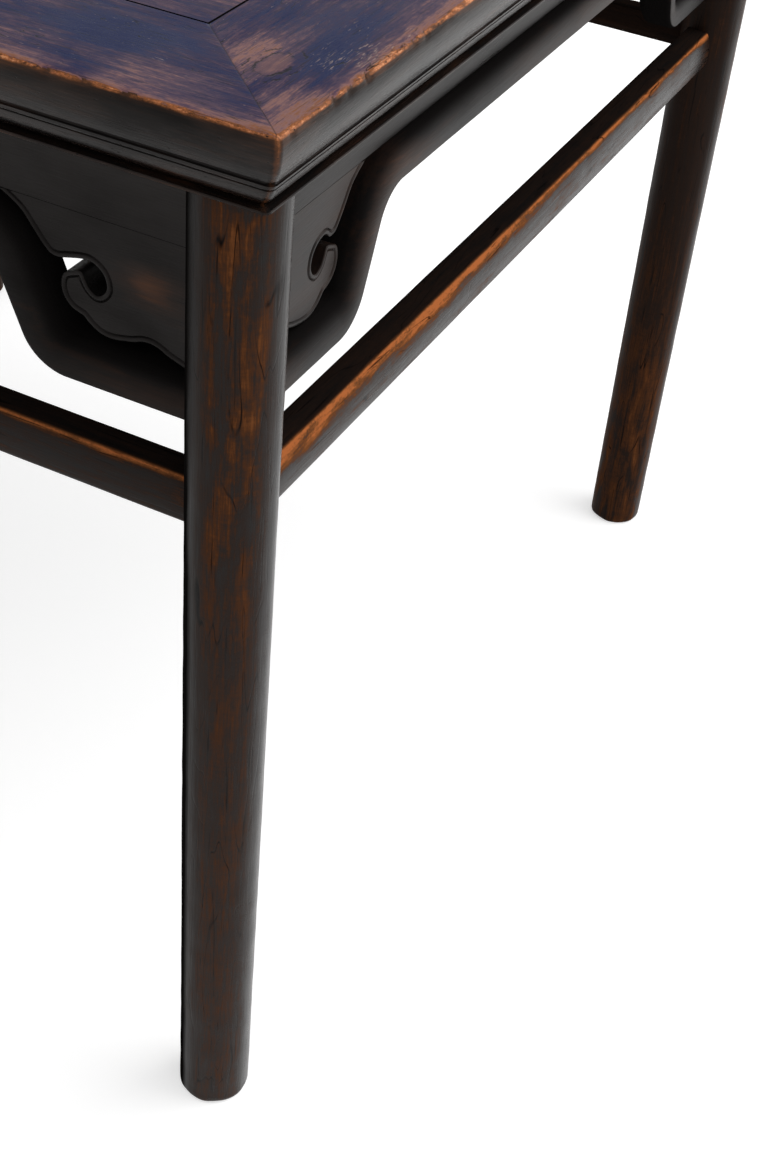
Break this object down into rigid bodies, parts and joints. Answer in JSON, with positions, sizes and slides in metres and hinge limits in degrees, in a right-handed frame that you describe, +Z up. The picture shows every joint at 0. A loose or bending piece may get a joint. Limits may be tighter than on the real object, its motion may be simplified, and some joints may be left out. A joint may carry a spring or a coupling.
{
  "type": "square table",
  "caption": "Square lacquered wooden table with a mitred, moulded top, round legs, cloud-scroll spandrels, and humpback and straight stretchers.",
  "frame": {"origin": "on the floor, under the middle of the table", "axes": "+Z up; -Y towards the front, the side that faces the viewer's left in the picture; +X to the right"},
  "size_m": [0.968, 0.968, 0.82],
  "materials": {
    "top_lacquer": "worn satin lacquer",
    "leg_lacquer": "worn satin lacquer",
    "dark_lacquer": "satin lacquer",
    "bare_wood": "bare, matte"
  },
  "bodies": {
    "root": {"leg_front_right": "leg_lacquer", "leg_back_right": "leg_lacquer", "leg_back_left": "leg_lacquer", "leg_front_left": "leg_lacquer", "frame_front": "top_lacquer", "frame_right": "top_lacquer", "frame_back": "top_lacquer", "frame_left": "top_lacquer", "panel_board_1": "top_lacquer", "panel_board_2": "top_lacquer", "panel_board_3": "top_lacquer", "batten_left": "bare_wood", "batten_right": "bare_wood", "apron_front": "dark_lacquer", "apron_right": "dark_lacquer", "apron_back": "dark_lacquer", "apron_left": "dark_lacquer", "spandrel_front_left": "dark_lacquer", "spandrel_front_right": "dark_lacquer", "spandrel_right_left": "dark_lacquer", "spandrel_right_right": "dark_lacquer", "spandrel_back_left": "dark_lacquer", "spandrel_back_right": "dark_lacquer", "spandrel_left_left": "dark_lacquer", "spandrel_left_right": "dark_lacquer", "humpback_front": "dark_lacquer", "humpback_right": "dark_lacquer", "humpback_back": "dark_lacquer", "humpback_left": "dark_lacquer", "stretcher_front": "leg_lacquer", "stretcher_right": "leg_lacquer", "stretcher_back": "leg_lacquer", "stretcher_left": "leg_lacquer"}
  },
  "joints": []
}
